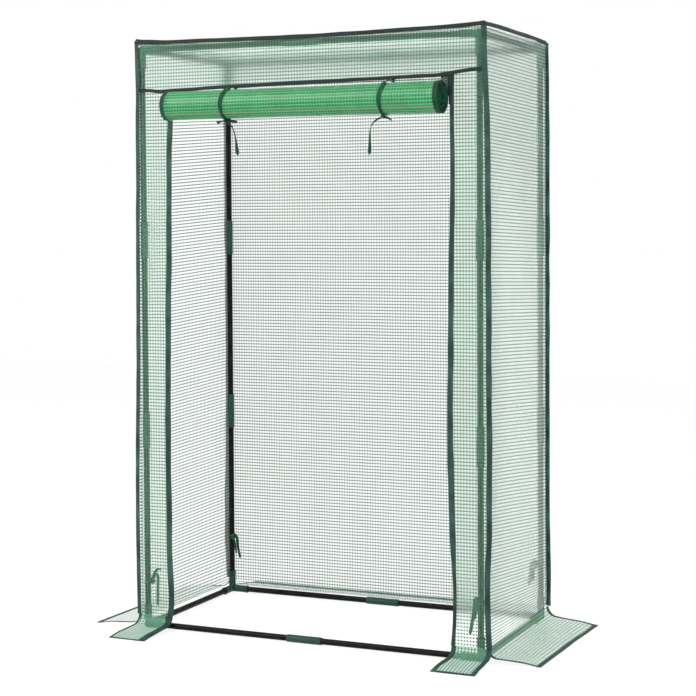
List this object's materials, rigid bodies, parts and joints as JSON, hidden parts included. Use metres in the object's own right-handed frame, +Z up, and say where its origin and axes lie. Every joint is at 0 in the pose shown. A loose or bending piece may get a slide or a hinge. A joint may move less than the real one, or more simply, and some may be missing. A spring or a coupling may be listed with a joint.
{
  "type": "portable greenhouse",
  "caption": "Portable greenhouse: a plug-together tube frame under a fitted grid film cover with ground flaps and a roll-up front door held by tie tapes.",
  "frame": {"origin": "on the ground, under the middle of the cover", "axes": "+Z up, -Y out of the doorway, +X to the right as one faces the back wall from the doorway"},
  "size_m": [1.265, 0.784, 1.5933],
  "materials": {
    "black_tube": "satin black powder coat on steel tube",
    "green_plastic": "moulded dark green plastic, lightly textured",
    "grid_film": "clear film over a light green woven grid, bound in dark green tape",
    "rolled_film": "the same grid film rolled up in many layers, so it looks deep green and glossy",
    "tie_tape": "dark green woven tape"
  },
  "bodies": {
    "frame_and_cover": {"back_panel": "grid_film", "bar_base_back_coupler": "green_plastic", "bar_base_back_left": "black_tube", "bar_base_back_right": "black_tube", "bar_base_front_coupler": "green_plastic", "bar_base_front_left": "black_tube", "bar_base_front_right": "black_tube", "bar_base_left": "black_tube", "bar_base_right": "black_tube", "bar_top_back_coupler": "green_plastic", "bar_top_back_left": "black_tube", "bar_top_back_right": "black_tube", "bar_top_front_coupler": "green_plastic", "bar_top_front_left": "black_tube", "bar_top_front_right": "black_tube", "bar_top_left": "black_tube", "bar_top_right": "black_tube", "corner_base_back_left": "green_plastic", "corner_base_back_right": "green_plastic", "corner_base_front_left": "green_plastic", "corner_base_front_right": "green_plastic", "corner_top_back_left": "green_plastic", "corner_top_back_right": "green_plastic", "corner_top_front_left": "green_plastic", "corner_top_front_right": "green_plastic", "front_panel": "grid_film", "left_panel": "grid_film", "post_back_left_coupler_1": "green_plastic", "post_back_left_coupler_2": "green_plastic", "post_back_left_section_1": "black_tube", "post_back_left_section_2": "black_tube", "post_back_left_section_3": "black_tube", "post_back_right_coupler_1": "green_plastic", "post_back_right_coupler_2": "green_plastic", "post_back_right_section_1": "black_tube", "post_back_right_section_2": "black_tube", "post_back_right_section_3": "black_tube", "post_front_left_coupler_1": "green_plastic", "post_front_left_coupler_2": "green_plastic", "post_front_left_section_1": "black_tube", "post_front_left_section_2": "black_tube", "post_front_left_section_3": "black_tube", "post_front_right_coupler_1": "green_plastic", "post_front_right_coupler_2": "green_plastic", "post_front_right_section_1": "black_tube", "post_front_right_section_2": "black_tube", "post_front_right_section_3": "black_tube", "right_panel": "grid_film", "roll_tie_left": "tie_tape", "roll_tie_right": "tie_tape", "roof_panel": "grid_film", "tie_tail_left": "tie_tape", "tie_tail_right": "tie_tape"},
    "door_curtain": {"door_curtain": "grid_film"},
    "door_roll": {"door_roll": "rolled_film"},
    "flap_right": {"flap_right": "grid_film"},
    "flap_left": {"flap_left": "grid_film"},
    "flap_back": {"flap_back": "grid_film"},
    "flap_front_left": {"flap_front_left": "grid_film"},
    "flap_front_right": {"flap_front_right": "grid_film"}
  },
  "joints": [
    {"name": "door_drop", "type": "slide", "parent": "frame_and_cover", "child": "door_curtain", "axis": [0, 0, -1], "range_m": [0, 1.375], "deforming": ["door_curtain", "roll_tie_left", "roll_tie_right", "tie_tail_left", "tie_tail_right"]},
    {"name": "roll_turn", "type": "hinge", "parent": "door_curtain", "child": "door_roll", "pos_m": [0, -0.2983, 1.4225], "axis": [1, 0, 0], "range_deg": [0, 3240]},
    {"name": "flap_right_lift", "type": "hinge", "parent": "frame_and_cover", "child": "flap_right", "pos_m": [0.5008, 0, 0.03829], "axis": [0, -1, 0], "range_deg": [0, 100]},
    {"name": "flap_left_lift", "type": "hinge", "parent": "frame_and_cover", "child": "flap_left", "pos_m": [-0.5008, 0, 0.03829], "axis": [0, 1, 0], "range_deg": [0, 100]},
    {"name": "flap_back_lift", "type": "hinge", "parent": "frame_and_cover", "child": "flap_back", "pos_m": [0, 0.2603, 0.03829], "axis": [1, 0, 0], "range_deg": [0, 100]},
    {"name": "flap_front_left_lift", "type": "hinge", "parent": "frame_and_cover", "child": "flap_front_left", "pos_m": [0, -0.2603, 0.03829], "axis": [-1, 0, 0], "range_deg": [0, 100]},
    {"name": "flap_front_right_lift", "type": "hinge", "parent": "frame_and_cover", "child": "flap_front_right", "pos_m": [0, -0.2603, 0.03829], "axis": [-1, 0, 0], "range_deg": [0, 100]}
  ],
  "couplings": [
    {"joint": "roll_turn", "follows": "door_drop", "rad_per_m": 41.126}
  ]
}
